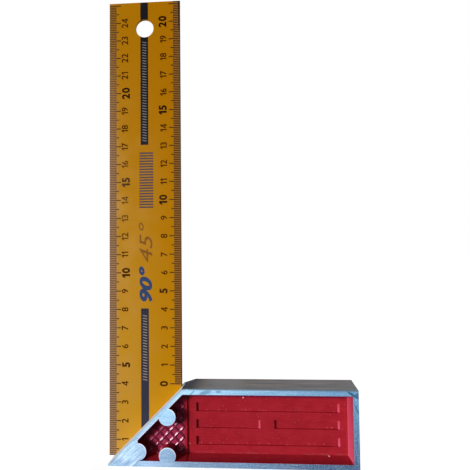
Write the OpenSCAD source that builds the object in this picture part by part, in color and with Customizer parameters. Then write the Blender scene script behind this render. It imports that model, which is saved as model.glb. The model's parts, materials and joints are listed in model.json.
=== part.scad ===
// Carpenter square: a steel blade riveted into the slot of a cast stock.
// It stands on the stock's outer face: X along the stock, Z along the blade, the front towards -Y.
// Inside the modules X = 0 is the blade's outer edge; the last lines centre the square on the origin.

/* [Blade] */
// Width of the blade
blade_w = 40; // [34:0.5:46]
// Length of the blade from end to end
blade_len = 250; // [150:1:500]
// Thickness of the blade
blade_t = 1.2; // [0.8:0.1:2.4]
// Height of the blade's lower end above the stock's outer face
blade_lift = 1.5; // [1:0.1:2.5]
// Diameter of the hanging hole
hang_d = 10; // [5:0.5:16]
// Distance of the hanging hole's centre from the blade's upper end
hang_drop = 15; // [10:0.5:40]

/* [Stock] */
// Length of the stock past the blade's inner edge
stock_reach = 92; // [80:1:200]
// Height of the stock between its outer and inner faces
stock_h = 40; // [38:0.5:44]
// Thickness of the stock
stock_t = 20; // [19:0.5:30]
// Angle between the mitre and the outer face
mitre_angle = 45; // [42:0.5:48]
// Distance of the mitre's head from the blade's inner edge
mitre_past = 1.5; // [0.5:0.1:4]
// Height of the blunt flat at the mitre's tip
tip_flat = 1; // [0.5:0.1:1.4]
// Length of the rear inner corner's cut along the inner face
corner_along = 4.5; // [2:0.1:7]
// Length of the rear inner corner's cut down the mitre
corner_down = 3; // [1:0.1:4]

/* [Recess] */
// Width of the rim round the recess
rim_w = 3.1; // [2:0.1:3.6]
// Width of the rim along the mitre
mitre_rim = 2.4; // [1.5:0.1:4]
// Depth of the knurled field below the rim
field_depth = 5.5; // [4:0.1:6]
// Step from the knurled field down to the pad
pad_step = 0.5; // [0.2:0.1:0.8]
// Distance of the pad's edge from the blade's inner edge
pad_start = 3.5; // [2:0.1:8]
// Run of the sloping long walls over the depth of the pad
wall_run = 2; // [0.4:0.1:2.5]
// Run of the sloping end wall over the depth of the pad
end_run = 1.8; // [0.4:0.1:4]
// Thickness of the red lacquer in the recess
lacquer_t = 0.15; // [0.1:0.01:0.3]

/* [Channels] */
// Height of a channel in the pad
channel_h = 4.5; // [2:0.1:5]
// Depth of a channel below the pad
channel_depth = 1; // [0.4:0.1:1.4]
// Height of the middle channel's middle above the stock's mid-height
channel_rise = 0.35; // [-0.5:0.05:0.5]
// Distance between the middles of neighbouring channels
channel_pitch = 8.7; // [6.5:0.1:9.5]
// Distance of the channels from the pad's edge at the blade
channel_near = 4.7; // [2:0.1:10]
// Distance of the channels from the pad's far edge
channel_far = 4; // [1:0.1:10]
// Run of a channel's sloping ends over its depth
channel_run = 0.9; // [0.2:0.1:2]
// Length of the bridge that halves the middle channel
bridge_len = 7.3; // [3:0.1:15]

/* [Knurl] */
// Distance between neighbouring knurl ridges
knurl_pitch = 3.8; // [2.5:0.1:6]
// Height of a knurl ridge
knurl_h = 0.5; // [0.2:0.05:0.8]
// Width of a knurl ridge at its foot
knurl_w = 1.6; // [1:0.1:2.4]
// Width of the plain strip between the knurl and the pad
knurl_margin = 1.8; // [0.5:0.1:4]
// Distance of the knurl's central crossing from the mitre
knurl_edge = 11.5; // [9:0.1:14]
// Height of the knurl's central crossing above the outer face
knurl_up = 16.1; // [12:0.1:20]

/* [Rivets] */
// Diameter of a rivet's shank
rivet_d = 4.8; // [3:0.1:5]
// Diameter of a rivet's countersunk head, ground flush
head_d = 6.8; // [5.5:0.1:7.2]
// Diameter of a boss round a rivet
boss_d = 9.1; // [8:0.1:10]
// Distance of the upper and lower rivets from the blade's inner edge
rivet_in = 6.2; // [5:0.1:9]
// Distance of the upper rivet from the mitre
upper_edge = 4.9; // [4:0.1:7]
// Height of the lower rivet above the outer face
lower_up = 5.5; // [4.5:0.1:8]
// Distance of the tip rivet from the mitre
tip_edge = 6.6; // [5:0.1:8]
// Height of the tip rivet above the outer face
tip_up = 7.5; // [6:0.1:9]
// Clearance of the blade in its slot and of the rivets in their holes
seat_gap = 0.05; // [0.02:0.01:0.1]

/* [Hidden] */

$fn = 96;
steel_yellow = "#c88a14";
cast_grey = "#b4c8d8";
rivet_grey = "#c4d4e0";
lacquer_red = "#a0202c";

// Extra length of a cut past the face that it opens
past = 1;

half_t = stock_t / 2;
front = -half_t;
stock_end = blade_w + stock_reach;
head_x = blade_w + mitre_past;
foot_x = head_x - stock_h / tan(mitre_angle);
pad_depth = field_depth + pad_step;
pad_x = blade_w + pad_start;
slot_half = blade_t / 2 + seat_gap;
head_depth = (head_d - rivet_d) / 2;

// X on the mitre at height z, moved the distance inset into the stock
function mitre_x(z, inset = 0) = foot_x + z / tan(mitre_angle) + inset / sin(mitre_angle);
// Height on the mitre at x, moved the distance inset into the stock
function mitre_z(x, inset = 0) = (x - foot_x - inset / sin(mitre_angle)) * tan(mitre_angle);

rivet_x = blade_w - rivet_in;
upper_at = [rivet_x, mitre_z(rivet_x, upper_edge)];
lower_at = [rivet_x, lower_up];
tip_at = [mitre_x(tip_up, tip_edge), tip_up];
hang_at = [blade_w / 2, blade_lift + blade_len - hang_drop];

// Draws a front-view outline between two depths
module slab(from_y, to_y)
    translate([0, to_y, 0])
        rotate([90, 0, 0])
            linear_extrude(to_y - from_y)
                children();

// Puts a shape of the front side on the rear side too
module both_sides() {
    children();
    mirror([0, 1, 0]) children();
}

// Puts a shape along Y at a place of the front view
module at_place(place)
    translate([place[0], 0, place[1]])
        rotate([90, 0, 0])
            children();

module stock_outline()
    polygon([
        [mitre_x(tip_flat), 0],
        [stock_end, 0],
        [stock_end, stock_h],
        [head_x, stock_h],
        [mitre_x(tip_flat), tip_flat]
    ]);

// Recess as seen from the front: only its mitre and tip sides are final, the walls trim the rest
module recess_outline(grow) {
    tip_x = tip_at[0] - grow;
    inset = mitre_rim - grow;
    polygon([
        [tip_x, 0],
        [stock_end, 0],
        [stock_end, stock_h],
        [mitre_x(stock_h, inset), stock_h],
        [tip_x, mitre_z(tip_x, inset)]
    ]);
}

// Space between the sloping long walls and the sloping end wall
module between_walls(grow) {
    top_y = front - past;
    deep_y = front + pad_depth + channel_depth + past;
    function run(y, total) = (y - front) * total / pad_depth - grow;
    intersection() {
        rotate([90, 0, 90])
            linear_extrude(stock_end)
                polygon([
                    [top_y, rim_w + run(top_y, wall_run)],
                    [deep_y, rim_w + run(deep_y, wall_run)],
                    [deep_y, stock_h - rim_w - run(deep_y, wall_run)],
                    [top_y, stock_h - rim_w - run(top_y, wall_run)]
                ]);
        linear_extrude(stock_h)
            polygon([
                [0, top_y],
                [stock_end - rim_w - run(top_y, end_run), top_y],
                [stock_end - rim_w - run(deep_y, end_run), deep_y],
                [0, deep_y]
            ]);
    }
}

// Three channels in the pad with sloping ends, the middle one halved by a bridge
module channels(grow) {
    pad_y = front + pad_depth;
    top_y = pad_y - past;
    deep_y = pad_y + channel_depth + grow;
    first_x = pad_x + channel_near;
    last_x = stock_end - rim_w - end_run - channel_far;
    middle_x = (first_x + last_x) / 2;
    middle_z = stock_h / 2 + channel_rise;
    slope = channel_run / channel_depth;
    function run(y) = (y - pad_y) * slope - grow * sqrt(1 + slope * slope);
    module channel(row, from_x, to_x)
        translate([0, 0, middle_z + row * channel_pitch - channel_h / 2 - grow])
            linear_extrude(channel_h + 2 * grow)
                polygon([
                    [from_x + run(top_y), top_y],
                    [to_x - run(top_y), top_y],
                    [to_x - run(deep_y), deep_y],
                    [from_x + run(deep_y), deep_y]
                ]);
    for (row = [-1, 1]) channel(row, first_x, last_x);
    channel(0, first_x, middle_x - bridge_len / 2);
    channel(0, middle_x + bridge_len / 2, last_x);
}

// Crossed ridges on the field between the mitre and the pad
module knurl(grow) {
    floor_y = front + field_depth + grow;
    slope = 2 * knurl_h / knurl_w;
    rise = knurl_h - grow * (sqrt(1 + slope * slope) - 1);
    half = rise / slope;
    reach = 2 * stock_h;
    lines = ceil(stock_h / 2 / knurl_pitch);
    intersection() {
        translate([0, front, 0])
            cube([pad_x - knurl_margin - grow, half_t, stock_h]);
        translate([mitre_x(knurl_up, knurl_edge), floor_y, knurl_up])
            for (turn = [-45, 45], line = [-lines:lines])
                rotate([0, turn, 0])
                    translate([0, 0, line * knurl_pitch])
                        rotate([90, 0, 90])
                            linear_extrude(reach, center = true)
                                polygon([[-rise, 0], [0, -half], [rise, 0], [0, half]]);
    }
}

// Front recess; grow makes it larger all round, to take the lacquer
module recess(grow) {
    difference() {
        union() {
            intersection() {
                between_walls(grow);
                union() {
                    slab(front - past, front + field_depth + grow)
                        recess_outline(grow);
                    slab(front - past, front + pad_depth + grow)
                        translate([pad_x - grow, 0])
                            square([stock_reach, stock_h]);
                }
            }
            channels(grow);
        }
        knurl(grow);
        for (place = [upper_at, lower_at, tip_at])
            at_place(place)
                cylinder(h = 2 * stock_t, d = boss_d - 2 * grow, center = true);
    }
}

// A rivet along Z with its two heads; gap and extra make the hole that takes it
module rivet_body(gap = 0, extra = 0) {
    shank = rivet_d / 2 + gap;
    head = head_d / 2 + gap;
    rotate_extrude()
        polygon([
            [0, -half_t - extra],
            [head, -half_t - extra],
            [head, -half_t],
            [shank, head_depth - half_t],
            [shank, half_t - head_depth],
            [head, half_t],
            [head, half_t + extra],
            [0, half_t + extra]
        ]);
}

// Slanting cut that takes the rear inner corner off beside the blade
module corner_cut() {
    at_slot = [head_x, slot_half, stock_h];
    at_top = [head_x + corner_along, half_t, stock_h];
    at_mitre = [
        head_x - corner_down * cos(mitre_angle),
        half_t,
        stock_h - corner_down * sin(mitre_angle)
    ];
    normal = cross(at_top - at_slot, at_mitre - at_slot);
    outward = normal[0] < 0 ? normal : -normal;
    translate(at_slot)
        rotate([0, acos(outward[2] / norm(outward)), atan2(outward[1], outward[0])])
            translate([-stock_t, -stock_t, 0])
                cube([2 * stock_t, 2 * stock_t, stock_t]);
}

module blade()
    color(steel_yellow)
        difference() {
            translate([0, -blade_t / 2, blade_lift])
                cube([blade_w, blade_t, blade_len]);
            at_place(hang_at)
                cylinder(h = stock_t, d = hang_d, center = true);
            for (place = [upper_at, lower_at, tip_at])
                at_place(place)
                    cylinder(h = stock_t, d = rivet_d + 2 * seat_gap, center = true);
        }

module stock()
    color(cast_grey)
        difference() {
            slab(-half_t, half_t) stock_outline();
            translate([-seat_gap, -slot_half, blade_lift - seat_gap])
                cube([blade_w + 2 * seat_gap, 2 * slot_half, stock_h]);
            both_sides() recess(lacquer_t);
            for (place = [upper_at, lower_at, tip_at])
                at_place(place) rivet_body(seat_gap, past);
            corner_cut();
        }

module rivet(place)
    color(rivet_grey)
        at_place(place) rivet_body();

module lacquer()
    color(lacquer_red)
        intersection() {
            slab(-half_t, half_t) stock_outline();
            difference() {
                recess(lacquer_t);
                recess(0);
            }
        }

// Sets the middle of the whole square over the origin
module centred()
    translate([-stock_end / 2, 0, 0]) children();

centred() blade();
centred() stock();
centred() rivet(upper_at);  // rivet_upper
centred() rivet(lower_at);  // rivet_lower
centred() rivet(tip_at);  // rivet_tip
centred() lacquer();  // lacquer_front
centred() mirror([0, 1, 0]) lacquer();  // lacquer_rear
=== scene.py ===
import json
import math

import bmesh
import bpy
from mathutils import Matrix, Vector


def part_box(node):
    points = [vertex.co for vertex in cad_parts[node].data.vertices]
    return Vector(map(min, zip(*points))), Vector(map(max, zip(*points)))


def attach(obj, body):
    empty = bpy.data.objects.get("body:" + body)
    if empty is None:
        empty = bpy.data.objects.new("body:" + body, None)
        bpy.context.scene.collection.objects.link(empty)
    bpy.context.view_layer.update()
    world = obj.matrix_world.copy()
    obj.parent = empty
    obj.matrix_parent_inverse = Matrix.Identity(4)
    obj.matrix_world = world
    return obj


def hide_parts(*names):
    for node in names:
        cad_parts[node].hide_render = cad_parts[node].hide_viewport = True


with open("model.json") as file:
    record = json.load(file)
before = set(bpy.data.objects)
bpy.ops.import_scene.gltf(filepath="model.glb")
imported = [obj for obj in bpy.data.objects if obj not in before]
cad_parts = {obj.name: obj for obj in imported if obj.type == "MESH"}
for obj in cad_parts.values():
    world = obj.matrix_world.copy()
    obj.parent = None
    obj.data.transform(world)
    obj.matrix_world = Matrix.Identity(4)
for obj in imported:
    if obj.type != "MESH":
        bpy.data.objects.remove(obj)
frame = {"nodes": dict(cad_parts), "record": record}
scene = bpy.context.scene
for spare in ("Cube", "Light", "Camera"):  # what a new Blender file starts with
    if spare in bpy.data.objects:
        bpy.data.objects.remove(bpy.data.objects[spare])
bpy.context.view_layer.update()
nodes = frame["nodes"]
scene.view_settings.view_transform = "Standard"
mm = 0.001
print("frame loaded with", len(nodes), "nodes")

# places that several pieces share
bladeLow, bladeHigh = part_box("blade")
stockLow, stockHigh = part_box("stock")
rivetNames = ("rivet_upper", "rivet_lower", "rivet_tip")
rivetPlaces = [sum(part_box(name), Vector()) / 2 for name in rivetNames]
tipPlace = rivetPlaces[-1]
hangHole = next(mount for mount in frame["record"]["mounts"] if mount["name"] == "hang_hole")


def mitreLine():
    # head of the mitre on the front face, and its unit direction down to the tip
    near = 0.01 * mm
    front = [vert.co for vert in nodes["stock"].data.vertices if vert.co.y < stockLow.y + near]
    head = min((place for place in front if place.z > stockHigh.z - near), key=lambda place: place.x)
    tip = max((place for place in front if place.x < stockLow.x + near), key=lambda place: place.z)
    return head, (tip - head).normalized()


mitreHead, mitreWay = mitreLine()


class Wire:
    # a node socket that takes plain Python sums
    def __init__(self, tree, socket=None):
        self.tree = tree
        self.socket = socket

    def node(self, kind, settings=None, inputs=None, out=0):
        made = self.tree.nodes.new(kind)
        for key, value in (settings or {}).items():
            setattr(made, key, value)
        for key, value in (inputs or {}).items():
            if isinstance(value, Wire):
                self.tree.links.new(value.socket, made.inputs[key])
            else:
                made.inputs[key].default_value = value
        return Wire(self.tree, made.outputs[out] if made.outputs else None)

    def sum(self, operation, first, second=0.0):
        return self.node("ShaderNodeMath", {"operation": operation}, {0: first, 1: second})

    def __add__(self, other):
        return self.sum("ADD", self, other)

    def __radd__(self, other):
        return self.sum("ADD", other, self)

    def __sub__(self, other):
        return self.sum("SUBTRACT", self, other)

    def __rsub__(self, other):
        return self.sum("SUBTRACT", other, self)

    def __mul__(self, other):
        return self.sum("MULTIPLY", self, other)

    def __rmul__(self, other):
        return self.sum("MULTIPLY", other, self)

    def __mod__(self, other):
        return self.sum("MODULO", self, other)

    def __lt__(self, other):
        return self.sum("LESS_THAN", self, other)

    def root(self):
        return self.sum("SQRT", self)

    def most(self, other):
        return self.sum("MAXIMUM", self, other)

    def ease(self, start, end):  # 0 at start, 1 at end, smooth between
        return self.node(
            "ShaderNodeMapRange",
            {"interpolation_type": "SMOOTHSTEP"},
            {"Value": self, "From Min": start, "From Max": end},
        )

    def tint(self, under, over):  # this value lays one colour over another
        return self.node("ShaderNodeMix", {"data_type": "RGBA"}, {0: self, 6: under, 7: over}, out=2)


def tone(red, green, blue):  # a colour as a picture editor shows it
    def linear(value):  # the usual curve of pictures
        share = value / 255
        return share / 12.92 if share <= 0.04045 else ((share + 0.055) / 1.055) ** 2.4

    return (linear(red), linear(green), linear(blue), 1.0)


def newFinish(name, fixed):
    material = bpy.data.materials.new(name)
    material.use_nodes = True
    tree = material.node_tree
    tree.nodes.clear()
    shader = tree.nodes.new("ShaderNodeBsdfPrincipled")
    output = tree.nodes.new("ShaderNodeOutputMaterial")
    tree.links.new(shader.outputs[0], output.inputs[0])
    for socket, value in fixed.items():
        shader.inputs[socket].default_value = value
    return material, shader, Wire(tree)


def feed(shader, **wires):
    sockets = {
        "colour": "Base Color",
        "rough": "Roughness",
        "metal": "Metallic",
        "coat": "Coat Weight",
        "normal": "Normal",
    }
    for name, wire in wires.items():
        wire.tree.links.new(wire.socket, shader.inputs[sockets[name]])


def placeOf(wire):
    coords = wire.node("ShaderNodeTexCoord", out="Object")
    split = wire.node("ShaderNodeSeparateXYZ", inputs={0: coords})
    return coords, [Wire(wire.tree, socket) for socket in split.socket.node.outputs]


def facingOf(wire):  # sideways, outwards and upwards parts of the surface direction
    surface = wire.node("ShaderNodeNewGeometry", out="True Normal")
    split = wire.node("ShaderNodeSeparateXYZ", inputs={0: surface})
    return [Wire(wire.tree, socket) for socket in split.socket.node.outputs]


def grain(coords, size, stretch=(1, 1, 1), slant=0.0, detail=2.0, rough=0.5):
    # slant leans a stretched grain in the front view, in degrees
    if slant:
        turn = {"Vector": coords, "Angle": math.radians(slant)}
        coords = coords.node("ShaderNodeVectorRotate", {"rotation_type": "Y_AXIS"}, turn)
    spread = coords.node("ShaderNodeMapping", inputs={"Vector": coords, "Scale": stretch})
    return coords.node(
        "ShaderNodeTexNoise",
        inputs={"Vector": spread, "Scale": 1 / size, "Detail": detail, "Roughness": rough},
    )


def spot(x, z, middleX, middleZ, halfLength, halfHeight, tilt):
    # 1 in the middle of an oval mark, 0 outside it; sizes in mm, tilt in degrees
    dx = x - middleX * mm
    dz = z - middleZ * mm
    way = math.radians(tilt)
    along = (dx * math.cos(way) + dz * math.sin(way)) * (1 / (halfLength * mm))
    over = (dz * math.cos(way) - dx * math.sin(way)) * (1 / (halfHeight * mm))
    return (along * along + over * over).ease(1.0, 0.15)


def relief(height, strength, distance):
    return height.node(
        "ShaderNodeBump", inputs={"Strength": strength, "Distance": distance, "Height": height}
    )


# camera and studio
cameraShot = {
    "place": Vector((20.54, -248.37, 109.61)) * mm,
    "yaw": 3.933,  # degrees, to the left
    "pitch": 2.388,  # degrees, upwards
    "roll": -0.624,
    "lens": 35.1,
    "sensor": 36.0,
    "nearest": 0.01,  # nothing closer is drawn
}


def addCamera():
    data = bpy.data.cameras.new("camera")
    data.lens = cameraShot["lens"]
    data.sensor_width = cameraShot["sensor"]
    data.clip_start = cameraShot["nearest"]
    camera = bpy.data.objects.new("camera", data)
    camera.matrix_world = (
        Matrix.Translation(cameraShot["place"])
        @ Matrix.Rotation(math.radians(cameraShot["yaw"]), 4, "Z")
        @ Matrix.Rotation(math.radians(90 + cameraShot["pitch"]), 4, "X")
        @ Matrix.Rotation(math.radians(cameraShot["roll"]), 4, "Z")
    )
    scene.collection.objects.link(camera)
    scene.camera = camera


studio = {
    "suns": {  # direction that the light comes from, strength, degrees across, colour
        "key": (Vector((-0.706, -0.706, 0.045)), 4.05, 14, (1, 1, 1)),
        "side": (Vector((-0.826, -0.494, 0.268)), 1.1, 12, (0.94, 0.97, 1.0)),
        "rear": (Vector((0.55, 0.75, 0.36)), 2.3, 40, (1, 1, 1)),
    },
    "fill": 0.09,
    "floorColour": 0.3,
    "floorGlow": 0.9,
    "floorSize": 30.0,
}


def seenRays(wire):  # rays that should meet a white room
    ray = wire.node("ShaderNodeLightPath", out="Is Camera Ray")
    outputs = ray.socket.node.outputs
    glossy = Wire(wire.tree, outputs["Is Glossy Ray"])
    through = Wire(wire.tree, outputs["Is Transmission Ray"])
    return ray.most(glossy).most(through)


def addSun(name, fromWay, strength, angle, colour):
    data = bpy.data.lights.new(name, "SUN")
    data.energy = strength
    data.angle = math.radians(angle)
    data.color = colour
    sun = bpy.data.objects.new(name, data)
    sun.rotation_mode = "QUATERNION"
    sun.rotation_quaternion = fromWay.to_track_quat("Z", "Y")
    scene.collection.objects.link(sun)


def addWorld():
    world = bpy.data.worlds.new("studioWorld")
    world.use_nodes = True
    world.node_tree.nodes.clear()
    wire = Wire(world.node_tree)
    strength = studio["fill"] + seenRays(wire) * (1 - studio["fill"])
    sky = wire.node("ShaderNodeBackground", inputs={"Color": (1, 1, 1, 1), "Strength": strength})
    wire.node("ShaderNodeOutputWorld", inputs={"Surface": sky})
    scene.world = world


def meshOf(bm):
    mesh = bpy.data.meshes.new("made")
    bm.to_mesh(mesh)
    bm.free()
    return mesh


def addFloor():
    bm = bmesh.new()
    bmesh.ops.create_grid(bm, x_segments=1, y_segments=1, size=studio["floorSize"] / 2)
    floor = bpy.data.objects.new("floor", meshOf(bm))
    scene.collection.objects.link(floor)
    paint = bpy.data.materials.new("floorPaint")
    paint.use_nodes = True
    paint.node_tree.nodes.clear()
    wire = Wire(paint.node_tree)
    grey = studio["floorColour"]
    matt = wire.node("ShaderNodeBsdfDiffuse", inputs={"Color": (grey, grey, grey, 1)})
    glow = wire.node(
        "ShaderNodeEmission",
        inputs={"Color": (1, 1, 1, 1), "Strength": seenRays(wire) * studio["floorGlow"]},
    )
    both = wire.node("ShaderNodeAddShader", inputs={0: matt, 1: glow})
    wire.node("ShaderNodeOutputMaterial", inputs={"Surface": both})
    floor.data.materials.append(paint)


addCamera()
for name, sun in studio["suns"].items():
    addSun(name, *sun)
addWorld()
addFloor()
print("camera and studio set")


def addPiece(name, mesh, materials, replaced=()):
    mesh.name = name
    for material in materials:
        mesh.materials.append(material)
    piece = bpy.data.objects.new(name, mesh)
    scene.collection.objects.link(piece)
    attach(piece, "root")
    if replaced:
        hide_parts(*replaced)


def dress(node, material):
    nodes[node].data.materials.clear()
    nodes[node].data.materials.append(material)


easing = {
    "weld": 0.002 * mm,  # corners closer than this become one
    "flat": math.radians(0.5),  # faces that turn less than this become one
    "outside": 0.02 * mm,  # play in what counts as lying outside
    "sharp": math.radians(20),
    "steps": 2,
}


def softened(node, width, outerSides, keepsCrisp=None):
    # a copy of a CAD solid with its outer edges eased; outerSides is how many faces
    # of such an edge lie outside, and keepsCrisp picks places that stay sharp
    bm = bmesh.new()
    bm.from_mesh(nodes[node].data)
    bmesh.ops.remove_doubles(bm, verts=bm.verts, dist=easing["weld"])
    bmesh.ops.dissolve_limit(bm, angle_limit=easing["flat"], verts=bm.verts, edges=bm.edges)
    bm.normal_update()
    points = [vert.co.copy() for vert in bm.verts]
    outer = set()
    for face in bm.faces:
        level = face.normal.dot(face.verts[0].co) + easing["outside"]
        if all(face.normal.dot(point) < level for point in points):
            outer.add(face)
    edges = []
    for edge in bm.edges:
        sides = edge.link_faces
        sharp = len(sides) == 2 and sides[0].normal.angle(sides[1].normal) > easing["sharp"]
        crisp = keepsCrisp and all(keepsCrisp(vert.co) for vert in edge.verts)
        if sharp and not crisp and sum(side in outer for side in sides) >= outerSides:
            edges.append(edge)
    bmesh.ops.bevel(
        bm,
        geom=edges,
        offset=width,
        segments=easing["steps"],
        profile=0.5,
        affect="EDGES",
        clamp_overlap=True,
    )
    bm.normal_update()
    return bm


# the cast stock and its rivets
metalLook = {
    # the four rim tones carry painted reflection and light, bluer and lighter at the upper left
    "topLeft": tone(166, 212, 242),
    "topRight": tone(98, 145, 186),
    "footLeft": tone(162, 190, 222),
    "footRight": tone(50, 80, 118),
    "mitre": tone(196, 200, 204),
    "sides": tone(146, 154, 162),  # end and outer face
    "rubbed": tone(112, 148, 178),
    "dulled": tone(146, 150, 152),  # outer edge of the mitre rim
    "nicked": tone(54, 96, 124),
    "streak": tone(96, 138, 184),
    # bright metal of burred edges and scratches, also their painted glint
    "burrAndGlint": tone(226, 244, 255),
    "plate": tone(200, 238, 248),  # brighter ground patch at the tip
    "edgeShade": tone(92, 102, 110),  # painted shade on the rounded upper edge of the top rim
    "shares": {  # how much of each tint shows
        "smudge": 0.45,
        "streak": 0.4,
        "plate": 0.3,
        "handled": 0.16,
        "speckle": 0.4,
        "dulled": 0.6,
        "edgeShade": 0.8,
        "burrAndGlint": 0.85,
        "burrGlintLine": 0.35,
        "sides": 0.85,
    },
    "bossRadius": 4.4 * mm,
    "rimWidth": 2.95 * mm,
    "mitreRim": 2.25 * mm,
    "burrGlintWidth": 0.7 * mm,
    "burrGlintDrop": 0.2 * mm,
    "edgeShadeWidth": 0.85 * mm,
    "fade": 0.3 * mm,  # over which one finish passes into the next
    "mitreFade": (3.2 * mm, 2.2 * mm),  # depths in the mitre, towards its rim
    "footFade": (3.4 * mm, 2.4 * mm),  # heights, towards the lower rim
    "scratch": 0.5 * mm,
    "speckle": 0.5 * mm,
    "streakWidth": 2.2 * mm,
    "smudge": 5 * mm,
    "grindSlant": 40,  # degrees, along the mitre
    # marks in mm: x, z, half length, half height, and the tilt in degrees
    "rubs": ((-12.3, 38.2, 4.2, 1.3, 16), (-5.3, 38.7, 2.0, 0.8, 0), (-19.0, 38.0, 2.2, 0.6, 40)),
    "nicks": ((63.0, 37.7, 4.6, 0.8, -33), (65.2, 37.4, 1.3, 1.6, 0), (64.8, 30.6, 3.4, 0.45, -66)),
}


def mitreDepth(x, z):  # how far a place lies inside the mitre
    return (x - mitreHead.x) * -mitreWay.z + (z - mitreHead.z) * mitreWay.x


def burrMask(x, z, inset):
    # thin bright burred edge with a painted glint where the bosses and the mitre rim drop into the recess
    rim = metalLook["mitreRim"]
    foot = metalLook["rimWidth"]
    width = metalLook["burrGlintWidth"]
    drop = metalLook["burrGlintDrop"]
    fade = metalLook["fade"]
    radius = metalLook["bossRadius"]
    pastTip = x.ease(tipPlace.x, tipPlace.x + 0.5 * mm)
    inField = inset.ease(rim - fade, rim) * pastTip * z.ease(foot - fade, foot)
    line = inset.ease(rim - width, rim) * inset.ease(rim + 0.5 * drop, rim) * pastTip
    rings = 0.0 * x
    for place in rivetPlaces:
        dx = x - place.x
        dz = z - place.z
        far = (dx * dx + dz * dz).root()
        ring = far.ease(radius - width, radius) * far.ease(radius + drop, radius)
        ring = ring * dz.ease(-0.2 * radius, 0.6 * radius)  # the upper side catches the light
        rings = rings.most(ring)
        line = line * far.ease(radius - drop, radius)
    return (metalLook["shares"]["burrGlintLine"] * line).most(rings * inField)


def groundMetal():
    material, shader, wire = newFinish("groundMetal", {})
    coords, (x, y, z) = placeOf(wire)
    shares = metalLook["shares"]

    def along(share):  # place at a share of the stock's length
        return stockLow.x + share * (stockHigh.x - stockLow.x)

    # tones along the rims, with painted reflection and light: lighter and bluer at the left and on the top
    # rim, darker to the right
    topAlong = x.ease(along(0.15), along(1))
    footAlong = 0.55 * x.ease(along(0.14), along(0.34)) + 0.45 * x.ease(along(0.3), along(1))
    top = topAlong.tint(metalLook["topLeft"], metalLook["topRight"])
    foot = footAlong.tint(metalLook["footLeft"], metalLook["footRight"])
    colour = z.ease(stockHigh.z, stockLow.z).tint(top, foot)

    # grinding marks: level, upright on the end rim, along the mitre at the tip
    level = grain(coords, metalLook["scratch"], (0.04, 1, 1), detail=4.0)
    upright = grain(coords, 1.5 * metalLook["scratch"], (1, 1, 0.06), detail=4.0)
    slant = grain(coords, 2 * metalLook["scratch"], (0.12, 1, 1), metalLook["grindSlant"], detail=4.0)
    inset = mitreDepth(x, z)
    onMitreRim = inset.ease(*metalLook["mitreFade"])
    inTip = x.ease(tipPlace.x + 6 * mm, tipPlace.x - 2 * mm).most(onMitreRim * 0.6)
    endRim = stockHigh.x - metalLook["rimWidth"]
    onEnd = x.ease(endRim - metalLook["fade"], endRim)
    scratch = level + inTip * (slant - level)
    scratch = scratch + onEnd * (upright - scratch)
    bright = scratch.ease(0.5, 0.72) * (0.2 + 0.45 * inTip)
    dull = scratch.ease(0.5, 0.34) * (0.15 + 0.45 * inTip + 0.25 * onEnd)

    # smudges, streaks and handling
    smudge = grain(coords, metalLook["smudge"], (0.6, 1, 1.4), detail=4.0, rough=0.6)
    colour = (smudge.ease(0.5, 0.75) * shares["smudge"]).tint(colour, metalLook["rubbed"])
    streak = grain(coords, metalLook["streakWidth"], (0.08, 1, 1), detail=3.0)
    streak = streak.ease(0.48, 0.68) * (1 - inTip.most(onEnd))
    colour = (streak * shares["streak"]).tint(colour, metalLook["streak"])
    plate = x.ease(tipPlace.x + 1 * mm, tipPlace.x - 4 * mm) * z.ease(3 * mm, 5 * mm)
    colour = (plate * shares["plate"]).tint(colour, metalLook["plate"])
    handled = onMitreRim.most(z.ease(*metalLook["footFade"]) * inTip * 2.4)
    colour = (handled * shares["handled"]).tint(colour, metalLook["rubbed"])
    colour = bright.tint(colour, metalLook["burrAndGlint"])
    colour = dull.tint(colour, metalLook["rubbed"])
    speckle = grain(coords, metalLook["speckle"], detail=2.0)
    colour = (speckle.ease(0.53, 0.68) * shares["speckle"]).tint(colour, metalLook["burrAndGlint"])
    colour = (speckle.ease(0.47, 0.32) * shares["speckle"]).tint(colour, metalLook["rubbed"])

    # single marks on the front, and the edges
    front = y.ease(stockLow.y + 0.4 * mm, stockLow.y + 0.1 * mm)
    for spots, shade in (("rubs", "rubbed"), ("nicks", "nicked")):
        for sizes in metalLook[spots]:
            mark = spot(x, z, *sizes) * smudge.ease(0.2, 0.5) * front
            colour = mark.tint(colour, metalLook[shade])
    dulled = inset.ease(1.2 * mm, 0.1 * mm)
    colour = (dulled * shares["dulled"]).tint(colour, metalLook["dulled"])
    # painted shade along the rounded upper edge of the top rim
    edgeShadeWidth = metalLook["edgeShadeWidth"]
    edgeShade = z.ease(stockHigh.z - edgeShadeWidth, stockHigh.z - 0.3 * edgeShadeWidth)
    colour = (edgeShade * shares["edgeShade"]).tint(colour, metalLook["edgeShade"])
    # painted glint on the burred edges of the bosses and the mitre rim
    colour = (burrMask(x, z, inset) * front * shares["burrAndGlint"]).tint(colour, metalLook["burrAndGlint"])
    sideways, _, upwards = facingOf(wire)
    onSides = sideways.most(0.0 - upwards).ease(0.8, 0.95)
    colour = (onSides * shares["sides"]).tint(colour, metalLook["sides"])
    onMitre = inset.ease(0.3 * mm, 0.05 * mm) * (1 - front)
    colour = onMitre.tint(colour, metalLook["mitre"])
    feed(
        shader,
        colour=colour,
        rough=0.3 + 0.14 * smudge + 0.1 * scratch + 0.2 * onMitre,
        metal=1 - 0.85 * onMitre,
        normal=relief(scratch, 0.2, 0.03 * mm),
    )
    return material


sawnLook = {
    "dark": tone(86, 86, 90),
    "pale": tone(140, 135, 133),
    "brown": tone(124, 112, 102),
    "blueEdge": tone(104, 116, 126),
    "shaded": tone(20, 26, 42),  # next to the blade
    "worn": tone(154, 155, 160),  # brighter stretch further on
    "shares": {"brown": 0.6, "blueEdge": 0.7, "worn": 0.36, "farEnd": 0.3, "shaded": 0.95},
    "streakWidth": 1.6 * mm,
    "patch": 12 * mm,
    "edgeWidth": 5 * mm,
}


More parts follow.
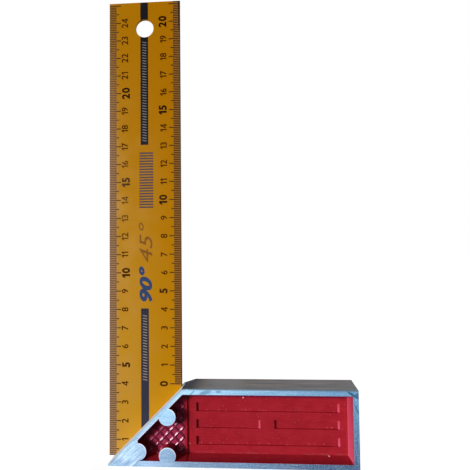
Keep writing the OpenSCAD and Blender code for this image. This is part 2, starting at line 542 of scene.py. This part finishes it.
def sawnMetal():
    material, shader, wire = newFinish("sawnMetal", {"Specular IOR Level": 0.1})
    coords, (x, y, _) = placeOf(wire)
    shares = sawnLook["shares"]
    streak = grain(coords, sawnLook["streakWidth"], (0.05, 1, 1), detail=5.0, rough=0.65)
    patch = grain(coords, sawnLook["patch"], (0.6, 1, 1), detail=3.0)
    colour = streak.ease(0.3, 0.7).tint(sawnLook["dark"], sawnLook["pale"])
    colour = (patch.ease(0.45, 0.66) * shares["brown"]).tint(colour, sawnLook["brown"])
    frontEdge = y.ease(stockLow.y + sawnLook["edgeWidth"], stockLow.y)
    colour = (frontEdge * shares["blueEdge"]).tint(colour, sawnLook["blueEdge"])
    fromBlade = x - mitreHead.x
    worn = fromBlade.ease(9 * mm, 18 * mm) * fromBlade.ease(36 * mm, 26 * mm)
    colour = (worn * shares["worn"]).tint(colour, sawnLook["worn"])
    farEnd = x.ease(stockHigh.x - 20 * mm, stockHigh.x - 9 * mm)
    colour = (farEnd * shares["farEnd"]).tint(colour, sawnLook["dark"])
    shaded = fromBlade.ease(12 * mm, 3 * mm)
    colour = (shaded * shares["shaded"]).tint(colour, sawnLook["shaded"])
    feed(shader, colour=colour, rough=0.55 + 0.2 * streak, normal=relief(streak, 0.3, 0.05 * mm))
    return material


groundFinish = groundMetal()
sawnFinish = sawnMetal()
stockEdges = {
    "ease": 0.15 * mm,
    "crispMitre": 0.05 * mm,  # edges this near the mitre stay sharp
    "level": 0.93,  # upward part of a face that counts as level
    "innerDepth": 3 * mm,
}


def onMitreFace(place):
    return mitreDepth(place.x, place.z) < stockEdges["crispMitre"]


def addStock():
    bm = softened("stock", stockEdges["ease"], 2, onMitreFace)
    innerFace = stockHigh.z - stockEdges["innerDepth"]
    for face in bm.faces:
        onInner = face.normal.z > stockEdges["level"] and face.calc_center_median().z > innerFace
        face.material_index = 1 if onInner else 0
    addPiece("stockCasting", meshOf(bm), [groundFinish, sawnFinish], ["stock"])


addStock()
for name in rivetNames:
    dress(name, groundFinish)
print("stock and rivets done")

# the red lacquer in the recesses
redLook = {
    "pad": tone(168, 34, 47),
    "deep": tone(150, 27, 38),
    "streaked": tone(184, 46, 62),
    "paintedSheen": tone(185, 69, 96),  # painted light and sheen on what faces the blade
    "paleSheen": tone(232, 116, 140),  # painted highlight on the ends of the channels
    # painted sheen over the knurl
    "knurlSheen": tone(166, 84, 142),
    "ridge": tone(238, 184, 210),  # painted glint on the upper side of the knurl ridges
    "paintedShade": tone(58, 8, 22),  # painted shade on the lower wall, the knurl flanks and the walls in shadow
    "wedgeShadow": tone(34, 14, 36),  # painted shadow in the corner under the tip boss
    "brinkShade": tone(104, 6, 18),  # painted shade line between the knurl and the pad
    "rimShadow": tone(84, 20, 64),  # painted shadow under the top rim
    "speck": tone(232, 150, 158),
    "paleChipAndGlint": tone(240, 196, 206),
    "shares": {  # how much of each tint shows
        "streaked": 0.35,
        "knurlSheen": 0.24,
        "paleSheen": 0.18,
        "footLine": 0.25,
        "outerPart": 0.3,
        "flank": 0.5,
        "ridge": 0.5,
        "corner": 0.8,
        "wedgeShadow": 0.8,
        "brinkShade": 0.8,
        "rimShadow": 0.65,
        "fading": 0.3,
        "speck": 0.26,
        "gathered": 0.3,
        "dust": 0.12,
    },
    "cloud": 6 * mm,
    "peel": 0.5 * mm,
    "speckCell": 2.2 * mm,
    "knurlEnd": -24.3 * mm,
    "knurlMiddle": (-32.14 * mm, 16.1 * mm),  # x and z of a crossing of two ridges
    "knurlPitch": 3.8 * mm,
    "padHead": -22.5 * mm,
    "padEnd": 7 * mm,  # the channels end further than this from the stock's end
    "padFace": 4 * mm,  # distance of the pad from the middle of the stock
    "wallHead": 5.1 * mm,  # height of the pad's lower edge
    "underRim": 1.0 * mm,
    "channelPitch": 8.7 * mm,
    "channelHalf": 2.25 * mm,
    "channelRise": 0.35 * mm,
    # a painted glint on the lower wall and a pale chip under the top rim, in mm: x, z, half length, half
    # height, and the tilt in degrees
    "glintAndChip": ((51.2, 4.9, 0.6, 0.18, -12), (7.1, 34.1, 0.5, 0.4, 0)),
}


def redLacquer():
    material, shader, wire = newFinish("redLacquer", {"Specular IOR Level": 0.04})
    coords, (x, y, z) = placeOf(wire)
    sideways, outwards, upwards = facingOf(wire)
    shares = redLook["shares"]
    knurlEnd = redLook["knurlEnd"]
    padHead = redLook["padHead"]
    padFace = redLook["padFace"]
    aside = (y * y).root()
    flatness = outwards * outwards  # 1 on what faces the front or the rear

    cloud = grain(coords, redLook["cloud"], detail=4.0)
    fine = grain(coords, redLook["peel"], detail=3.0)
    streak = grain(coords, redLook["peel"], (0.08, 1, 1), detail=3.0)
    mottle = 0.5 * cloud.ease(0.35, 0.7) + 0.5 * fine.ease(0.4, 0.65)
    colour = mottle.tint(redLook["pad"], redLook["deep"])
    colour = (streak.ease(0.52, 0.7) * shares["streaked"]).tint(colour, redLook["streaked"])

    # the lower wall in painted shade, and painted light on the walls that face the blade
    shaded = 0.3 * aside.ease(padFace, stockHigh.y) + 0.3 * aside.ease(0.9 * stockHigh.y, stockHigh.y)
    colour = (upwards.ease(0.8, 0.93) * shaded).tint(colour, redLook["paintedShade"])
    facesBlade = sideways.ease(-0.45, -0.8)
    paintedSheen = facesBlade * (0.5 + 0.5 * z.ease(stockHigh.z, stockLow.z)) * (0.6 + 0.6 * fine)
    colour = paintedSheen.tint(colour, redLook["paintedSheen"])

    # painted sheen over the knurl, then painted highlights on the ends of the channels and along the foot
    # of the walls
    beforePad = x.ease(knurlEnd + 0.5 * mm, knurlEnd)
    inKnurl = beforePad * flatness.ease(0.5, 0.65)
    colour = (inKnurl * shares["knurlSheen"]).tint(colour, redLook["knurlSheen"])
    padEnd = stockHigh.x - redLook["padEnd"]
    inPad = x.ease(knurlEnd + 1 * mm, knurlEnd + 3 * mm) * x.ease(padEnd, padEnd - 1 * mm)
    # painted highlight along the foot of the walls that face the blade
    footLine = aside.ease(padFace + 1.3 * mm, padFace + 0.5 * mm) * fine.ease(0.3, 0.6)
    paler = (shares["paleSheen"] * inPad).most(shares["footLine"] * footLine)
    colour = (facesBlade * paler).tint(colour, redLook["paleSheen"])
    # painted shade: walls that face the blade are darker towards the rim and the top
    outerPart = aside.ease(0.65 * stockHigh.y, stockHigh.y) * z.ease(stockLow.z, stockHigh.z)
    colour = (facesBlade * outerPart * shares["outerPart"]).tint(colour, redLook["paintedShade"])

    # knurl ridges: painted shade on the flanks, painted glints on the upper sides except at the crossings
    middleX, middleZ = redLook["knurlMiddle"]
    along = (x - middleX + z - middleZ) * (math.sqrt(0.5) / redLook["knurlPitch"])
    gap = along.sum("PINGPONG", along, 0.5)  # 0 at a crossing
    ridge = (upwards - sideways).ease(0.5, 0.75) * inKnurl * gap.ease(0.2, 0.32)
    ridge = ridge * (0.15 + 0.85 * mitreDepth(x, z).ease(5 * mm, 11 * mm))
    flank = (sideways - upwards).most(sideways + upwards).most(0.0 - sideways - upwards)
    colour = (flank.ease(0.4, 0.7) * inKnurl * shares["flank"]).tint(colour, redLook["paintedShade"])
    colour = (ridge * shares["ridge"]).tint(colour, redLook["ridge"])
    # painted shadow on the walls that face away from the light: the mitre wall and the right sides of the
    # bosses
    corner = (sideways - upwards).most(1.3 * sideways).ease(0.4, 1.0) * flatness.ease(0.4, 0.1)
    colour = (corner * beforePad * shares["corner"]).tint(colour, redLook["paintedShade"])

    # painted shadow under the tip boss, painted shade at the head of the pad and painted shadow under the
    # top rim
    foot = metalLook["rimWidth"]
    wedgeShadow = x.ease(tipPlace.x + 5.5 * mm, tipPlace.x + 3.5 * mm) * z.ease(foot + 1.8 * mm, foot + 0.8 * mm)
    colour = (wedgeShadow * shares["wedgeShadow"]).tint(colour, redLook["wedgeShadow"])
    brinkShade = x.ease(padHead - 0.4 * mm, padHead - 0.1 * mm) * x.ease(padHead + 1.4 * mm, padHead + 0.5 * mm)
    colour = (brinkShade * shares["brinkShade"]).tint(colour, redLook["brinkShade"])
    padTop = stockHigh.z - redLook["wallHead"]
    under = z.ease(padTop - redLook["underRim"], padTop - 0.3 * redLook["underRim"])
    colour = (under * flatness.ease(0.5, 0.8) * shares["rimShadow"]).tint(colour, redLook["rimShadow"])

    # specks, more of them along the channels, and dust along the pad's lower edge
    voronoi = {"Vector": coords, "Scale": 1 / redLook["speckCell"]}
    cell = coords.node("ShaderNodeTexVoronoi", inputs=voronoi, out="Distance")
    speck = cell.ease(0.12, 0.06) * cloud.ease(0.46, 0.56) * shares["speck"]
    for row in (-1, 0, 1):
        middle = (stockLow.z + stockHigh.z) / 2 + redLook["channelRise"] + row * redLook["channelPitch"]
        low = middle - redLook["channelHalf"]
        high = middle + redLook["channelHalf"]
        # the painted highlight on the ends of the channels fades towards their tops
        fading = z.ease(low, high - 0.5 * mm) * z.ease(high + 0.3 * mm, high + 0.1 * mm)
        colour = (fading * facesBlade * inPad * shares["fading"]).tint(colour, redLook["pad"])
        near = z.ease(low - 0.2 * mm, low + 0.4 * mm) * z.ease(low + 1.6 * mm, low + 0.6 * mm)
        gathered = near * cell.ease(0.36, 0.2) * fine.ease(0.49, 0.61)
        speck = speck.most(gathered * shares["gathered"])
    head = redLook["wallHead"]
    dust = z.ease(head - 0.2 * mm, head) * z.ease(head + 1.5 * mm, head + 0.3 * mm)
    dust = dust * fine.ease(0.35, 0.65) * cloud.ease(0.42, 0.6)
    colour = speck.most(dust * shares["dust"]).tint(colour, redLook["speck"])
    for sizes in redLook["glintAndChip"]:
        chip = spot(x, z, *sizes) * y.ease(0.0, -1 * mm)  # on the front alone
        colour = chip.tint(colour, redLook["paleChipAndGlint"])
    rough = 0.16 + 0.14 * cloud
    feed(shader, colour=colour, rough=rough, coat=ridge * 0.2, normal=relief(fine, 0.08, 0.04 * mm))
    return material


redFinish = redLacquer()
for name in ("lacquer_front", "lacquer_rear"):
    dress(name, redFinish)
print("red lacquer done")

# the blade
yellowLook = {
    "lowLeft": tone(196, 143, 40),
    "lowRight": tone(187, 127, 4),
    "topLeft": tone(167, 111, 4),
    "topRight": tone(164, 105, 0),
    "glare": tone(190, 142, 66),  # painted glare towards the outer edge
    "outerGlare": tone(176, 136, 100),  # painted glare on the lacquer under the outer scale
    "innerHaze": tone(150, 106, 56),
    "bareEdge": tone(44, 28, 18),
    "shares": {"glare": 0.6, "outerGlare": 0.75, "innerHaze": 0.6},
    "leftWear": 0.22 * mm,
    "rightWear": 0.28 * mm,
    "rightWearUp": 0.12 * mm,  # more of it on the upper half
    "upperHalf": (150 * mm, 200 * mm),
    "cornerWear": 0.75 * mm,  # and most at the upper corner
    "cornerHeight": 15 * mm,
    "ragged": 0.3 * mm,
    "mottle": 16 * mm,
    "peel": 0.6 * mm,
    "scuff": 3 * mm,
}


def nearOuter(x):  # 1 along the outer edge, 0 past its scale
    return x.ease(bladeLow.x + 6 * mm, bladeLow.x + 2 * mm)


def rightWorn(x, z, ragged):  # where the inner edge is rubbed bare
    corner = bladeHigh.z - yellowLook["cornerHeight"]
    wear = yellowLook["rightWear"] + yellowLook["rightWearUp"] * z.ease(*yellowLook["upperHalf"])
    wear = wear + yellowLook["cornerWear"] * z.ease(corner - 4 * mm, corner + 2 * mm)
    return (bladeHigh.x - x + ragged).ease(wear, 0.6 * wear)


def yellowLacquer():
    material, shader, wire = newFinish("yellowLacquer", {"Specular IOR Level": 0.015})
    coords, (x, _, z) = placeOf(wire)
    shares = yellowLook["shares"]
    across = x.ease(bladeLow.x, bladeHigh.x)
    upward = z.ease(bladeLow.z, bladeHigh.z)
    low = across.tint(yellowLook["lowLeft"], yellowLook["lowRight"])
    top = across.tint(yellowLook["topLeft"], yellowLook["topRight"])
    colour = upward.tint(low, top)
    mottle = grain(coords, yellowLook["mottle"], detail=3.0)
    paler = mottle.ease(0.35, 0.75) * (1 - across) * upward.ease(1.0, 0.55)
    colour = (paler * shares["glare"]).tint(colour, yellowLook["glare"])
    outerGlare = nearOuter(x) * upward.ease(1.1, 0.6)
    colour = (outerGlare * shares["outerGlare"]).tint(colour, yellowLook["outerGlare"])
    innerHaze = x.ease(bladeHigh.x - 4.2 * mm, bladeHigh.x - 3.4 * mm)
    innerHaze = innerHaze * z.ease(stockHigh.z - 1.5 * mm, stockHigh.z)
    colour = (innerHaze * shares["innerHaze"]).tint(colour, yellowLook["innerHaze"])
    fine = grain(coords, yellowLook["peel"], detail=4.0)
    ragged = (fine - 0.5) * yellowLook["ragged"]
    wornLeft = (x - bladeLow.x + ragged).ease(yellowLook["leftWear"], 0.0)
    colour = wornLeft.most(rightWorn(x, z, ragged)).tint(colour, yellowLook["bareEdge"])
    scuff = grain(coords, yellowLook["scuff"], (1, 1, 0.06), detail=5.0)
    rough = 0.38 + 0.12 * mottle + 0.12 * scuff
    feed(shader, colour=colour, rough=rough, normal=relief(fine, 0.12, 0.05 * mm))
    return material


steelLook = {"dark": tone(36, 26, 20), "pale": tone(92, 78, 66), "streakWidth": 1.5 * mm}


def bladeSteel():
    material, shader, wire = newFinish("bladeSteel", {"Specular IOR Level": 0.1})
    coords, _ = placeOf(wire)
    streak = grain(coords, steelLook["streakWidth"], (1, 1, 0.04), detail=4.0)
    colour = streak.ease(0.3, 0.75).tint(steelLook["dark"], steelLook["pale"])
    rough = 0.5 + 0.25 * streak
    metal = 0.3 * streak
    feed(shader, colour=colour, rough=rough, metal=metal, normal=relief(streak, 0.2, 0.05 * mm))
    return material


yellowFinish = yellowLacquer()
steelFinish = bladeSteel()
bladeEdges = {
    "ease": 0.12 * mm,
    "flat": 0.9,  # outward part of a face that carries lacquer
}


def addBlade():
    bm = softened("blade", bladeEdges["ease"], 1)
    hole = Vector(hangHole["pos_m"])
    reach = hangHole["dims"]["r_mm"] * mm + 2 * bladeEdges["ease"]
    for face in bm.faces:
        middle = face.calc_center_median()
        inHole = math.hypot(middle.x - hole.x, middle.z - hole.z) < reach
        lacquered = inHole or abs(face.normal.y) > bladeEdges["flat"]
        face.material_index = 0 if lacquered else 1
    addPiece("bladeStrip", meshOf(bm), [yellowFinish, steelFinish], ["blade"])


addBlade()
print("blade done")

# the print on the blade
inkFilm = {
    "proud": 0.02 * mm,
    "sunk": 0.01 * mm,
    "patch": 1.2 * mm,
    "thinReach": (15 * mm, 8 * mm),  # from the outer edge, where the numerals have gone thin
    "thinFoot": (100 * mm, 135 * mm),
    "thinHead": (175 * mm, 148 * mm),
}
filmDepth = inkFilm["proud"] + inkFilm["sunk"]


def printInk(name, lowTone, topTone, glareAndWearTone):
    # the last tone shows as painted glare along the outer edge, and where the print has worn thin
    material, shader, wire = newFinish(name, {"Specular IOR Level": 0.02})
    coords, (x, _, z) = placeOf(wire)
    patch = grain(coords, inkFilm["patch"], detail=4.0)
    colour = z.ease(stockHigh.z, bladeHigh.z).tint(lowTone, topTone)
    # painted glare along the outer edge, stronger lower down
    rubbed = nearOuter(x) * z.ease(1.05 * bladeHigh.z, 0.75 * bladeHigh.z)
    reach, start = inkFilm["thinReach"]
    thin = x.ease(bladeLow.x + reach, bladeLow.x + start)
    thin = thin * z.ease(*inkFilm["thinFoot"]) * z.ease(*inkFilm["thinHead"])
    worn = rubbed.most(thin * 0.5).most(patch.ease(0.55, 0.8) * 0.3)
    colour = worn.tint(colour, glareAndWearTone)
    ragged = (patch - 0.5) * yellowLook["ragged"]
    colour = rightWorn(x, z, ragged).tint(colour, yellowLook["bareEdge"])
    feed(shader, colour=colour, rough=0.45 + 0.2 * patch, normal=relief(patch, 0.1, 0.02 * mm))
    return material


blackInk = printInk("blackInk", tone(70, 38, 8), tone(34, 13, 0), tone(96, 74, 54))
numeralInk = printInk("numeralInk", tone(84, 42, 0), tone(68, 31, 0), tone(132, 90, 40))
tickInk = printInk("tickInk", tone(80, 50, 28), tone(54, 35, 20), tone(100, 78, 64))
navyInk = printInk("navyInk", tone(52, 52, 66), tone(22, 22, 24), tone(62, 64, 80))
blueInk = printInk("blueInk", tone(54, 70, 104), tone(54, 70, 104), tone(64, 80, 110))
barInk = printInk("barInk", tone(82, 70, 76), tone(82, 70, 76), tone(104, 88, 84))
greyInk = printInk("greyInk", tone(146, 134, 122), tone(112, 108, 104), tone(156, 146, 136))
brownInk = printInk("brownInk", tone(128, 84, 38), tone(128, 84, 38), tone(150, 104, 52))


def filmMiddle(facing):  # facing is -1 for the front, 1 for the rear
    face = bladeLow.y if facing < 0 else bladeHigh.y
    return face + facing * (inkFilm["proud"] - inkFilm["sunk"]) / 2


def tickTree():
    tree = bpy.data.node_groups.new("tickRow", "GeometryNodeTree")
    ports = {}
    for label, kind in (
        ("count", "NodeSocketInt"),
        ("first", "NodeSocketInt"),
        ("start", "NodeSocketVector"),
        ("pitch", "NodeSocketFloat"),
        ("side", "NodeSocketFloat"),
        ("short", "NodeSocketFloat"),
        ("middle", "NodeSocketFloat"),
        ("long", "NodeSocketFloat"),
        ("width", "NodeSocketFloat"),
        ("film", "NodeSocketFloat"),
        ("lean", "NodeSocketFloat"),
        ("ink", "NodeSocketMaterial"),
    ):
        ports[label] = tree.interface.new_socket(label, in_out="INPUT", socket_type=kind).identifier
    tree.interface.new_socket("ticks", in_out="OUTPUT", socket_type="NodeSocketGeometry")
    wire = Wire(tree)
    entry = tree.nodes.new("NodeGroupInput")
    given = {socket.name: Wire(tree, socket) for socket in entry.outputs if socket.name}
    number = wire.node("GeometryNodeInputIndex") + given["first"]
    onFive = (number % 5) < 0.5
    onTen = (number % 10) < 0.5
    reach = given["short"] + onFive * (given["middle"] - given["short"])
    reach = reach + onTen * (given["long"] - given["middle"])
    step = wire.node("ShaderNodeCombineXYZ", inputs={"Z": given["pitch"]})
    row = wire.node(
        "GeometryNodeMeshLine",
        {"mode": "OFFSET"},
        {"Count": given["count"], "Start Location": given["start"], "Offset": step},
    )
    shift = wire.node("ShaderNodeCombineXYZ", inputs={"X": reach * given["side"] * 0.5})
    spots = wire.node("GeometryNodeSetPosition", inputs={"Geometry": row, "Offset": shift})
    size = wire.node("ShaderNodeCombineXYZ", inputs={"X": reach, "Y": given["film"], "Z": given["width"]})
    turn = wire.node("ShaderNodeCombineXYZ", inputs={"Y": given["lean"]})
    bar = wire.node("GeometryNodeMeshCube")
    copies = wire.node(
        "GeometryNodeInstanceOnPoints",
        inputs={"Points": spots, "Instance": bar, "Rotation": turn, "Scale": size},
    )
    whole = wire.node("GeometryNodeRealizeInstances", inputs={"Geometry": copies})
    inked = wire.node("GeometryNodeSetMaterial", inputs={"Geometry": whole, "Material": given["ink"]})
    wire.node("NodeGroupOutput", inputs={0: inked})
    return tree, ports


ticks, tickPorts = tickTree()


def tickRow(name, sizes, ink):
    holder = bpy.data.objects.new("holder", bpy.data.meshes.new("holder"))
    scene.collection.objects.link(holder)
    grow = holder.modifiers.new("ticks", "NODES")
    grow.node_group = ticks
    usual = {"first": 1, "lean": 0.0, "film": filmDepth, "ink": ink}
    for label, value in dict(usual, **sizes).items():
        grow[tickPorts[label]] = value
    graph = bpy.context.evaluated_depsgraph_get()
    mesh = bpy.data.meshes.new_from_object(holder.evaluated_get(graph))
    holder.modifiers.remove(grow)
    bpy.data.objects.remove(holder)
    addPiece(name, mesh, [])


scales = {
    "outerZero": stockLow.z,
    "innerZero": stockHigh.z,
    "outerFirst": 2,  # first millimetre above the blade's lower end
    "outerLast": 250,
    "innerLast": 211,
    "pitch": 1 * mm,
    "edgeGap": 0.15 * mm,
    "short": 3.8 * mm,
    "middle": 5.2 * mm,
    "long": 6.3 * mm,
    "width": 0.58 * mm,
}


def addScales(facing, label):
    sizes = {key: scales[key] for key in ("pitch", "short", "middle", "long", "width")}
    y = filmMiddle(facing)
    first = scales["outerFirst"]
    outer = dict(
        sizes,
        count=scales["outerLast"] - first + 1,
        first=first,
        start=(bladeLow.x + scales["edgeGap"], y, scales["outerZero"] + first * scales["pitch"]),
        side=1.0,
    )
    inner = dict(
        sizes,
        count=scales["innerLast"] + 1,
        first=0,
        start=(bladeHigh.x - scales["edgeGap"], y, scales["innerZero"]),
        side=-1.0,
    )
    tickRow("outerScale" + label, outer, tickInk)
    tickRow("innerScale" + label, inner, tickInk)


addScales(-1, "Front")
addScales(1, "Rear")
print("scales done")

figures = {
    "outerX": 8.7 * mm,  # middle of the outer numerals, from the outer edge
    "outerBoldX": 9.3 * mm,
    "innerX": 30.5 * mm,
    "innerBoldX": 30.1 * mm,
    "height": 3.7 * mm,
    "boldHeight": 4.5 * mm,
    "swell": 0.02,  # shares of the letter size that the outline swells
    "boldSwell": 0.04,
    "stroke": 0.19,  # shares of the height, for the figures drawn here
    "boldStroke": 0.25,
    "gap": 0.1,  # between two figures
    "curveSteps": 4,
    "outerNumbers": range(1, 25),
    "innerNumbers": range(0, 21),
    "boldEvery": 5,
}


def lettering(text, height, swell, shear=0.0):
    # flat words as a mesh about the origin, the tops of the letters towards +Y
    data = bpy.data.curves.new("words", "FONT")
    data.body = text
    data.resolution_u = figures["curveSteps"]
    data.offset = swell
    data.shear = shear
    data.extrude = 0.01  # any depth, flattened to the film below
    holder = bpy.data.objects.new("words", data)
    scene.collection.objects.link(holder)
    graph = bpy.context.evaluated_depsgraph_get()
    mesh = bpy.data.meshes.new_from_object(holder.evaluated_get(graph))
    bpy.data.objects.remove(holder)
    bpy.data.curves.remove(data)
    low = Vector([min(vert.co[i] for vert in mesh.vertices) for i in range(3)])
    high = Vector([max(vert.co[i] for vert in mesh.vertices) for i in range(3)])
    scale = height / (high.y - low.y)
    flatten = filmDepth / (high.z - low.z)
    fit = Matrix.Diagonal((scale, scale, flatten, 1)) @ Matrix.Translation(-(low + high) / 2)
    mesh.transform(fit)
    return mesh


def drawnOne(stroke):  # outline of a 1 with its flag, in shares of its height
    stem = 0.2
    right = stem + stroke
    flag = 0.78
    inner = 1 - 1.2 * stroke
    return [
        [(stem, 0), (right, 0), (right, 1), (stem, 1), (0, flag), (0, flag - stroke), (stem, inner)],
    ]


def drawnFour(stroke):  # outlines of an open 4: stem, stub, bar and slope
    stem = 0.4
    right = stem + stroke
    end = right + 0.12
    bar = 0.2
    over = bar + 0.8 * stroke
    steep = (0.9 - bar) / stem
    under = 0.98 - 1.65 * stroke
    inner = stem - (under - over) / steep
    return [
        [(stem, 0), (right, 0), (right, 1), (stem, 1)],
        [(right, bar), (end, bar), (end, over), (right, over)],
        [(0, bar), (stem, bar), (stem, over), (inner, over)],
        [(0, bar), (inner, over), (stem, under), (stem, 1), (0, bar + 0.1)],
    ]


def thicken(bm, corners, way):  # a flat outline drawn out into a film
    face = bm.faces.new([bm.verts.new(corner) for corner in corners])
    made = bmesh.ops.extrude_face_region(bm, geom=[face])
    moved = [item for item in made["geom"] if isinstance(item, bmesh.types.BMVert)]
    bmesh.ops.translate(bm, vec=way, verts=moved)


def drawnFigure(outlines, height):  # the same kind of flat mesh as lettering gives
    bm = bmesh.new()
    across = max(x for outline in outlines for x, y in outline)
    for outline in outlines:
        corners = [((x - across / 2) * height, (y - 0.5) * height, -filmDepth / 2) for x, y in outline]
        thicken(bm, corners, (0, 0, filmDepth))
    bmesh.ops.recalc_face_normals(bm, faces=bm.faces)
    return meshOf(bm)


def figureShapes(bold):  # one mesh for each digit
    height = figures["boldHeight" if bold else "height"]
    swell = figures["boldSwell" if bold else "swell"]
    stroke = figures["boldStroke" if bold else "stroke"]
    shapes = {digit: lettering(digit, height, swell) for digit in "02356789"}
    shapes["1"] = drawnFigure(drawnOne(stroke), height)
    shapes["4"] = drawnFigure(drawnFour(stroke), height)
    return shapes


def upright(facing, x, z):  # lays words on the blade, read from below upwards
    turn = Matrix(((0, facing, 0), (0, 0, facing), (1, 0, 0)))
    return Matrix.Translation((x, filmMiddle(facing), z)) @ turn.to_4x4()


plainShapes = figureShapes(False)
boldShapes = figureShapes(True)


def setNumber(bm, number, bold, place):  # its digits side by side, about the place
    shapes = [(boldShapes if bold else plainShapes)[digit] for digit in str(number)]
    widths = [2 * max(vert.co.x for vert in shape.vertices) for shape in shapes]
    gap = figures["gap"] * figures["boldHeight" if bold else "height"]
    start = -(sum(widths) + gap * (len(widths) - 1)) / 2
    for shape, width in zip(shapes, widths):
        copy = shape.copy()
        copy.transform(place @ Matrix.Translation((start + width / 2, 0, 0)))
        bm.from_mesh(copy)
        bpy.data.meshes.remove(copy)
        start += width + gap


def addNumerals(facing, label):
    plainBm = bmesh.new()
    boldBm = bmesh.new()
    for zero, numbers, plainX, boldX in (
        (scales["outerZero"], figures["outerNumbers"], "outerX", "outerBoldX"),
        (scales["innerZero"], figures["innerNumbers"], "innerX", "innerBoldX"),
    ):
        for number in numbers:
            bold = number % figures["boldEvery"] == 0
            x = bladeLow.x + figures[boldX if bold else plainX]
            place = upright(facing, x, zero + number * 10 * scales["pitch"])
            setNumber(boldBm if bold else plainBm, number, bold, place)
    addPiece("numerals" + label, meshOf(plainBm), [numeralInk])
    addPiece("boldNumerals" + label, meshOf(boldBm), [blackInk])


addNumerals(-1, "Front")
addNumerals(1, "Rear")
print("numerals done")

stripe = {
    "left": 17.6 * mm,
    "right": 21.9 * mm,
    "lowFoot": 2.0 * mm,
    "lowTop": 80.5 * mm,
    "highFoot": 170.7 * mm,
    "topGap": 0.2 * mm,
    "holeMargin": 0.15 * mm,
    "arcSteps": 12,
}


def addStripe(facing, label):
    left = bladeLow.x + stripe["left"]
    right = bladeLow.x + stripe["right"]
    top = bladeHigh.z - stripe["topGap"]
    hole = Vector(hangHole["pos_m"])
    radius = hangHole["dims"]["r_mm"] * mm + stripe["holeMargin"]

    def arc(way):  # edge of the print above or below the hanging hole
        points = []
        for step in range(stripe["arcSteps"] + 1):
            x = left + (right - left) * step / stripe["arcSteps"]
            points.append((x, hole.z + way * math.sqrt(radius**2 - (x - hole.x) ** 2)))
        return points

    def level(z):
        return [(left, z), (right, z)]

    outlines = (
        level(stripe["lowFoot"]) + level(stripe["lowTop"])[::-1],
        level(stripe["highFoot"]) + arc(-1)[::-1],
        arc(1) + level(top)[::-1],
    )
    bm = bmesh.new()
    back = filmMiddle(facing) - filmDepth / 2
    for outline in outlines:
        thicken(bm, [(x, back, z) for x, z in outline], (0, filmDepth, 0))
    bmesh.ops.recalc_face_normals(bm, faces=bm.faces)
    addPiece("stripe" + label, meshOf(bm), [navyInk])


addStripe(-1, "Front")
addStripe(1, "Rear")
print("stripes done")

# plain marks on the front: strokes on the stripe, a ladder of bars, and the two angles
strokes = {
    "x": 18.6 * mm,
    "reach": 2.4 * mm,
    "width": 0.5 * mm,
    "pitch": 1.5 * mm,
    "lean": math.radians(12),
    "lift": 0.01 * mm,  # they lie on other print
    "lowStart": 42 * mm,
    "lowCount": 24,
    "highStart": 173 * mm,
    "highCount": 38,
}
ladder = {
    "x": 16.8 * mm,
    "reach": 7.8 * mm,
    "width": 0.85 * mm,
    "pitch": 1.5 * mm,
    "lean": 0.0,
    "lift": 0.0,
    "start": 136 * mm,
    "count": 21,
}
angles = {
    "x": 20.2 * mm,
    "height": 7.6 * mm,
    "squareZ": 93.7 * mm,
    "mitreZ": 116.5 * mm,
    "boldSwell": 0.045,
    "shear": 0.25,
    "stretch": 1.5,  # along the blade
}


def evenRow(name, sizes, start, count, ink):  # equal bars on the front
    reach = sizes["reach"]
    place = (bladeLow.x + sizes["x"], filmMiddle(-1) - sizes["lift"], start)
    row = {key: sizes[key] for key in ("pitch", "width", "lean")}
    row.update(count=count, start=place, side=1.0, short=reach, middle=reach, long=reach)
    tickRow(name, row, ink)


evenRow("strokesLow", strokes, strokes["lowStart"], strokes["lowCount"], greyInk)
evenRow("strokesHigh", strokes, strokes["highStart"], strokes["highCount"], greyInk)
evenRow("ladderMark", ladder, ladder["start"], ladder["count"], barInk)


def addAngle(name, text, z, swell, ink):
    mesh = lettering(text, angles["height"], swell, angles["shear"])
    mesh.transform(Matrix.Diagonal((angles["stretch"], 1, 1, 1)))
    mesh.transform(upright(-1, bladeLow.x + angles["x"], z))
    addPiece(name, mesh, [ink])


addAngle("squareAngle", "90°", angles["squareZ"], angles["boldSwell"], blueInk)
addAngle("mitreAngle", "45°", angles["mitreZ"], 0.0, brownInk)
print("plain marks done")
